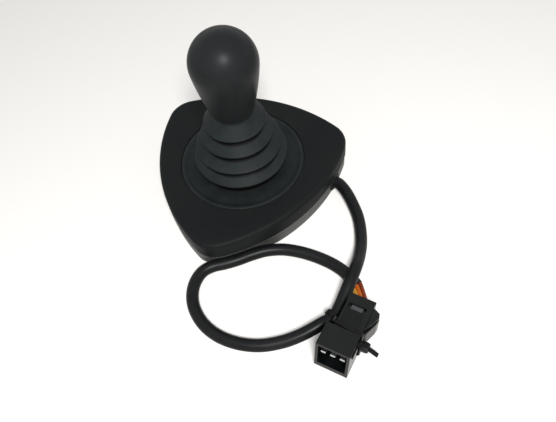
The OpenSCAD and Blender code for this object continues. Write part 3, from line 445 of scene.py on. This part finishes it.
def painted_fold_shade(r, z):
    """Painted shade: 1 on each crest's standing rim and from its root out to its dark_to,
    falling to 0 in 0.5 mm; a quarter, a lighter painted shade, over the flat dish."""
    dark = np.where((z < 21.5) & (r > 25), 0.25, 0.0)
    for (crest_r, crest_z), (root_r, root_z), limit in zip(crests, roots, dark_to):
        rim = (r > crest_r - 1.2) & (z > crest_z - 2.4) & (r < crest_r + 0.3)
        below = (r > root_r - 1.3) & (z > root_z - 6)
        dark = np.maximum(dark, rim * np.clip((crest_z - 0.25 - z) / 0.3, 0, 1))
        dark = np.maximum(dark, below * (z < crest_z - 1.2)
                          * np.clip((limit + 0.5 - r) / 0.5, 0, 1))
    return dark


# EPDM from a blasted mould: a blue-green black, matt with a faint bloom on the skirts,
# with painted shade that turns it nearly black in the folds and a little darker on the dish
rubber = finish_of("moulded EPDM rubber", "1E2323", "292D2E", 0.55, 0.7, 0.02, mottle=9,
                   level=0.09, painted_shade="020202")
for name, profile, bodies, start, end in (
        ("boot_upper", np.vstack([upper, inner_upper]), ("gimbal", "lever"), 36.0, 52.0),
        ("boot_lower", np.vstack([lower, inner_lower]), ("base", "gimbal"), dish_z,
         halves_meet[1])):
    boot = skin(name, revolved(profile, 288, 0.12), True, True)
    boot.data.materials.append(rubber)
    at = np.empty(3 * len(boot.data.vertices))
    boot.data.vertices.foreach_get("co", at)
    at = at.reshape(-1, 3) / MM
    # the painted shade, worked out from each point's radius and height
    shade = boot.data.attributes.new("painted_shade", "FLOAT", "POINT")
    shade.data.foreach_set("value", painted_fold_shade(np.hypot(at[:, 0], at[:, 1]), at[:, 2]))
    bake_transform(boot)
    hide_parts("rubber_boot")

# ---- Knob
# A drop-shaped grip compression-moulded in black phenolic round a brass insert, left
# with a satin skin. It screws onto the lever above the neck sleeve, and a nut under it
# locks it.
foot_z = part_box("knob")[0][2] / MM
dome_r, knob_top = (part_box("knob")[1][k] / MM for k in (0, 2))
foot_r, dome_z = 12.2, knob_top - dome_r
bore_r, bore_end = 5.5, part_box("knob_insert")[1][2] / MM
# the side grows from the foot's radius to the dome's by 1 - (1 - s)^1.32
s = np.linspace(0, 1, 40)[3:, None]
side = np.hstack([foot_r + (dome_r - foot_r) * (1 - (1 - s)**1.32),
                  foot_z + (dome_z - foot_z) * s])
a = np.linspace(0, math.pi / 2, 30)[1:-1, None]
dome = np.hstack([dome_r * np.cos(a), dome_z + dome_r * np.sin(a)])
foot = filleted([(bore_r, foot_z, 0), (foot_r, foot_z, 0.5),
                 (foot_r + 0.15, foot_z + 0.9, 0.4)])
grip = skin("knob_grip", revolved(np.vstack([[(bore_r, bore_end)], foot, side, dome])),
            True, False, (True, True), crease=40)
# polished mould, dulled by hands: one soft highlight on the shoulder over an even black
satin = finish_of("satin phenolic moulding", "1D1F20", "232526", 0.36, 1.0, 0.02,
                  mottle=22, level=0.1)
grip.data.materials.append(satin)
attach(grip, "lever")
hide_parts("knob")

# ---- Centring spring
# A conical compression spring of 1.5 mm music wire between the gimbal's housing and the
# collar on the lever. It is hidden by the boot and is drawn in the same two halves.
wire_r, turns, low_r, high_r = 0.75, 6, 12.05, 6.95
low_z, high_z = 30.2, 50.7
t = np.linspace(0, 1, 60 * turns + 1)
coil_r = low_r + (high_r - low_r) * t**1.5
coil_a = 2 * np.pi * turns * t
# the pitch closes up towards both ends, as closed end turns do
coil_z = low_z + (high_z - low_z) * (t - np.sin(2 * np.pi * t) / 12)
helix = np.column_stack([coil_r * np.cos(coil_a), coil_r * np.sin(coil_a), coil_z])
# phosphate over bright wire: a mid grey metal with a broken, drawn-out shine
wire = finish_of("phosphated spring wire", "8A8B8E", "A2A3A6", 0.34, 0.6, 0.01,
                 metallic=1.0, mottle=5)
split = int(np.searchsorted(coil_z, halves_meet[1]))
for name, part, bodies, start, end in (
        ("spring_lower", helix[:split + 1], ("base", "gimbal"), 30.0, halves_meet[1]),
        ("spring_upper", helix[split:], ("gimbal", "lever"), 36.0, 50.0)):
    spring = skin(name, carried_circle(part, wire_r, 12), True, False, (True, True))
    spring.data.materials.append(wire)
    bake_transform(spring)
    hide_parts("centring_spring")


# ---- Pan, seal and sleeves
# The lower half of the base, moulded in black ABS, and the nitrile rubber seal, grommet
# and cable sleeve that close it. These, and all pieces from here to the plug, keep their
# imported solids.
def dressed(nodes, material, rounding=0.0):
    """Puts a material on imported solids, joins their loose triangles for shading, and
    rounds the edges sharper than 40 degrees by `rounding` mm."""
    for name in nodes:
        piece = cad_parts[name]
        piece.data.materials.clear()
        piece.data.materials.append(material)
        weld = piece.modifiers.new("joined", "WELD")
        weld.merge_threshold = 2e-6
        if rounding:
            bevel = piece.modifiers.new("rounded", "BEVEL")
            bevel.width, bevel.segments = rounding * MM, 2
            bevel.limit_method, bevel.angle_limit = "ANGLE", math.radians(40)
            bevel.use_clamp_overlap = True


# as the cover's texture, a little shinier: a dark grey that shows only from below
dressed(["base_pan"], finish_of("moulded black ABS, pan", "2E3032", "3A3C3E", 0.5, 0.8,
                                0.03, mottle=24, level=0.3))
# soft rubber with carbon black: very dark and quite matt
dressed(["base_seal", "cable_grommet", "cable_end_sleeve"],
        finish_of("moulded nitrile rubber", "141415", "1C1C1D", 0.7, 0.5, 0.02))

# ---- Fasteners and inserts
# Turned brass inserts, moulded in or pressed in, and the zinc-plated screws and lock nut
# that hold the cover, the boot's ring, the housing, the board and the cable's clamp.

# fresh from the lathe: a warm yellow metal with sharp highlights
dressed(["mounting_inserts", "knob_insert"],
        finish_of("turned brass", "C2A05A", "A98743", 0.3, 0.5, 0.006, metallic=1.0))
# bright zinc: a cool, light grey metal, slightly clouded
dressed(["cover_screws", "boot_ring_screws", "housing_screws", "board_screws",
         "clamp_screws", "lock_nut"],
        finish_of("zinc-plated steel", "B4B6BA", "9EA0A4", 0.32, 0.4, 0.006, metallic=1.0))

# ---- Rings and clamp
# The ring that clamps the boot's flange, the collar that the spring bears on, and the
# cable's clamp: steel, pressed from sheet and plated.

# rolled sheet: a darker, softer grey than the screws
dressed(["boot_ring", "spring_collar"],
        finish_of("pressed plated steel", "9C9DA1", "8A8B8F", 0.4, 0.5, 0.01, metallic=1.0))
dressed(["cable_clamp"], finish_of("pressed clamp steel", "9C9DA1", "8A8B8F", 0.4, 0.5,
                                   0.01, metallic=1.0))

# ---- Gimbal
# The housing with its bushes, the ring on its two pins, and the hub on its own pin, which
# carries the ground shaft: two crossed hinges, machined, pressed and pinned together.

# glass fibres at the surface: a dry, dark grey-black without shine
dressed(["gimbal_housing", "neck_sleeve"],
        finish_of("moulded glass-filled nylon", "1A1A1C", "242426", 0.55, 0.6, 0.03))
# pressed powder, oiled: a brown metal with a soft, spotty shine
dressed(["outer_bushes", "inner_bushes"],
        finish_of("sintered bronze", "9A6E3C", "84592E", 0.5, 0.3, 0.015, metallic=1.0))
# bare milled faces: a pale grey metal with a soft, even shine
dressed(["gimbal_ring", "lever_hub"],
        finish_of("machined aluminium", "B8BABE", "A8AAAE", 0.3, 0.4, 0.006, metallic=1.0))
# ground round the axis: nearly a mirror, with fine rings round the shaft
dressed(["outer_pins", "inner_pin", "lever_shaft"],
        finish_of("ground stainless steel", "C4C6C9", "B4B6B9", 0.2, 0.4, 0.003,
                  metallic=1.0, stretch=(1, 1, 6)))
# oxide-blackened: dark, with a thin, cool shine
dressed(["hub_roll_pin", "collar_clip"],
        finish_of("blackened spring steel", "2C2C2E", "3A3A3C", 0.4, 0.4, 0.006,
                  metallic=1.0))

# ---- Sensor
# A plated magnet in its acetal holder under the hub, over a small board with the sensor,
# a three-way header, and the cable's cores soldered to it.

# bright nickel: a smooth, nearly white mirror
dressed(["magnet"], finish_of("nickel-plated magnet", "BEC0C4", "AEB0B4", 0.18, 0.4,
                              0.003, metallic=1.0))
# undyed and waxy: a soft off-white
dressed(["magnet_holder"], finish_of("natural acetal", "E4E2D8", "DAD8CC", 0.4, 0.6, 0.01))
# green lacquer on glass cloth: a glossy dark green
dressed(["circuit_board"], finish_of("solder-masked laminate", "14532F", "1A6238", 0.3,
                                     0.5, 0.01, level=0.5))
# filled epoxy: a dull black block
dressed(["hall_sensor"], finish_of("black epoxy package", "17171A", "202022", 0.5, 0.4,
                                   0.015))
# undyed nylon: a yellowish white, half matt
dressed(["board_header"], finish_of("natural nylon header", "E6E0CE", "DCD5C0", 0.45, 0.5,
                                    0.01))
# coloured PVC: a plain, warm orange with a soft shine
dressed(["core_wires"],
        finish_of("orange wire insulation", "D9822B", "C9731F", 0.4, 0.6, 0.01))


# ---- Plug
# A three-way wire-to-wire plug moulded in black PBT: a hooded socket, a rear block with a
# sprung plate on top, and a spring arm at its side. It lies mouth up on its rear edge.
def in_plug(points):
    """Points in the plug's own axes, x across, y back from the mouth and z up, to the
    shared frame: pitched 8 degrees mouth up, turned -10 degrees, and set on its place."""
    pitch, turn = math.radians(-8), math.radians(-10)
    x, y, z = np.moveaxis(np.asarray(points, float), -1, 0)
    y, z = y * math.cos(pitch) - z * math.sin(pitch), y * math.sin(pitch) + z * math.cos(pitch)
    x, y = x * math.cos(turn) - y * math.sin(turn), x * math.sin(turn) + y * math.cos(turn)
    return np.stack([81 + x, y - 106.5, z + 3.414], axis=-1)


# polished mould: deep black faces that take a hard, pale edge of light
pbt = finish_of("moulded black PBT", "080A0A", "0F1212", 0.2, 0.6, 0.006, mottle=7,
                spread=0.04, level=0.22)
dressed(["connector_housing"], pbt, 0.35)
# dipped tin: three small, bright, slightly blurred glints in the socket
tin = finish_of("tinned contact", "DADCDF", "C8CACD", 0.25, 0.4, 0.004, metallic=1.0)
dressed(["connector_contacts"], tin, 0.3)
# the plate's flat top mirrors the tent only at a low angle, under a thin gloss
plate = finish_of("glossy black PBT plate", "0E1111", "151919", 0.45, 0.6, 0.02, mottle=5,
                  level=0.0, coat=0.3)
dressed(["connector_latch"], plate, 0.2)

# the thumb tab, a low bar at the plate's back end
tab_from, tab_to = 26.4, 29.2
tab_section = ((-1.7, 18.8), (-1.7, 19.3), (4.5, 19.3), (4.5, 18.8))
tab = np.array([[(x, y, z) for x, z in tab_section] for y in (tab_from, tab_to)])
thumb_tab = skin("thumb_tab", in_plug(tab), True, False, (True, True))
# a grey patch, half matt, in the black
tab_grey = finish_of("grey PBT tab", "3C4042", "464A4C", 0.5, 0.6, 0.02, mottle=3)
thumb_tab.data.materials.append(tab_grey)
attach(thumb_tab, "base")

# the arm's thumb pad, a lug that stands out from the rear block and narrows at its top
lug_plan = np.array([(8.8, 18.6), (11.4, 23.6), (13.2, 28.8), (12.5, 31.4), (8.8, 33.2)])
centre = lug_plan.mean(axis=0)
lug_levels = [(1.0, 11.6), (1.0, 12), (1.0, 17.6), (0.94, 18.1), (0.85, 18.3)]
lug_rings = [at_height(centre + (lug_plan - centre) * grow, z) for grow, z in lug_levels]
side_lug = skin("side_lug", in_plug(np.array(lug_rings)), True, False, (True, True))
side_lug.data.materials.append(pbt)
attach(side_lug, "base")

# ---- Leads
# Three PVC-insulated cores, ochre, orange and brown, fanned from the cable's end to the
# plug's rear block, where each is crimped to its contact.
lead_r, lead_apart, way_apart = 1.12, 2.35, 2.6
rear_face = 35.2
cord_end, end_dir = cord_line[-1], cord_line[-1] - cord_line[-4]
end_dir = end_dir * [1, 1, 0] / np.linalg.norm(end_dir[:2])
end_side = np.array([-end_dir[1], end_dir[0], 0])
leads = []
for place, dye, colour, worn in ((-1, "ochre", "E8B04A", "DCA23C"),
                                 (0, "orange", "D9742A", "C8651F"),
                                 (1, "brown", "8A3B1E", "7A3218")):
    start = cord_end + place * lead_apart * end_side
    into = in_plug([(-0.4 + way_apart * place, rear_face + back, height)
                    for back, height in ((5, 9.7), (2, 10.5), (-3, 10.5))])
    lead_line = smooth_line(np.vstack([start + 0.3 * end_dir, start + 3 * end_dir, into]), 0.8)
    lead = skin(f"lead_{len(leads) + 1}", carried_circle(lead_line, lead_r, 16), True, False,
                (True, True))
    # thin coloured PVC: the only bright colour on the part, with a soft shine
    lead.data.materials.append(finish_of(f"{dye} core insulation", colour, worn, 0.4, 0.6,
                                         0.01, mottle=3))
    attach(lead, "base")
    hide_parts("connector_leads")
    leads.append(lead)


# ---- Cable tie
# A moulded nylon tie, 2.6 mm wide, pulled tight round the plug behind its hood and round
# the cable that passes it, with its square head and cut tail on the plug's side.
def band(path, across_line, width, thick, closed):
    """Grid of a flat band carried along a path: its section is a rectangle with bevelled
    corners, `width` along the given direction and `thick` along the one square to it."""
    ahead = (np.roll(path, -1, axis=0) - np.roll(path, 1, axis=0) if closed
             else np.gradient(path, axis=0))
    ahead /= np.linalg.norm(ahead, axis=1)[:, None]
    wide = across_line - np.sum(across_line * ahead, axis=1)[:, None] * ahead
    wide /= np.linalg.norm(wide, axis=1)[:, None]
    out = np.cross(ahead, wide)
    section = np.array([(1, 0.5), (0.8, 1), (-0.8, 1), (-1, 0.5), (-1, -0.5), (-0.8, -1),
                        (0.8, -1), (1, -0.5)]) * [width / 2, thick / 2]
    return path[:, None] + section[:, :1] * wide[:, None] + section[:, 1:] * out[:, None]


strap_w, strap_thick, strap_y = 2.6, 1.1, 15.1
# where the cable passes, in the plug's own axes, and the way it runs there
cord_at, cord_way = np.array([-10, 24.2, 8.1]), np.array([0.39, 0.916, 0.088])
cord_side = np.array([0.92, -0.39, 0])
cord_up = np.cross(cord_side, cord_way)
strap_r = cord_r + 0.65
a = np.radians(np.arange(60, 301, 12))[:, None]
loop = np.vstack([[(9.6, 14.6, 10), (9.6, 14.6, 19.6), (9, 14.7, 20.8), (2, 15.2, 20.85),
                   (-4.6, 16, 20.85), (-5.9, 17, 20), (-7.4, 20.5, 15)],
                  cord_at + strap_r * (np.cos(a) * cord_side + np.sin(a) * cord_up),
                  [(-4.6, 16.5, 0.9), (9, 14.6, 0.85), (9.6, 14.6, 1.6)]])
# the loop again, in points 0.5 mm apart, eased three times as a stiff strap would be
closed = np.vstack([loop, loop[:1]])
spans = np.linalg.norm(np.diff(closed, axis=0), axis=1)
stations = np.arange(0, spans.sum(), 0.5)
path = np.stack([np.interp(stations, np.append(0, spans.cumsum()), closed[:, k])
                 for k in range(3)], axis=-1)
by_cord = np.exp(-(np.linalg.norm(path - cord_at, axis=1) / 7) ** 4)[:, None]
for _ in range(3):
    path = (np.roll(path, 1, axis=0) + 2 * path + np.roll(path, -1, axis=0)) / 4
# its width lies along the plug, and turns along the cable where it goes round that
way = np.array([0, 1, 0]) * (1 - by_cord) + cord_way * by_cord
strap = in_plug(band(path, way, strap_w, strap_thick, True))
# the head is a rounded square, carried outwards and smaller at both ends
a = np.linspace(0, 2 * np.pi, 32, endpoint=False)
square = np.stack([np.sign(np.cos(a)) * np.abs(np.cos(a)) ** 0.3 * 2.3,
                   np.sign(np.sin(a)) * np.abs(np.sin(a)) ** 0.3 * 2.35], axis=-1)
head_levels = ((9.7, 0.86), (9.9, 1.0), (10.6, 1.0), (12.6, 1.0), (13.7, 0.93), (14.0, 0.8))
head = np.stack([np.column_stack([np.full(len(a), x), strap_y + square[:, 0] * grow,
                                  9.3 + square[:, 1] * grow])
                 for x, grow in head_levels])
tail_line = np.array([(x, strap_y, z) for x, z in
                      ((13.4, 9.2), (15, 8.6), (17, 7.7), (18.9, 6.6))])
tail = band(tail_line, np.array([[0, 1.0, 0]]), 2.5, 1.0, False)
# nylon with carbon black: black, with a thin waxy shine along the strap's edges
nylon = finish_of("moulded black nylon", "09090A", "101011", 0.35, 0.5, 0.01, mottle=5,
                  level=0.16)
for name, grid, looped in (("tie_strap", strap, True), ("tie_head", in_plug(head), False),
                           ("tie_tail", in_plug(tail), False)):
    piece = skin(name, grid, True, looped, (not looped, not looped), crease=28)
    piece.data.materials.append(nylon)
    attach(piece, "base")
    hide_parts("cable_tie")
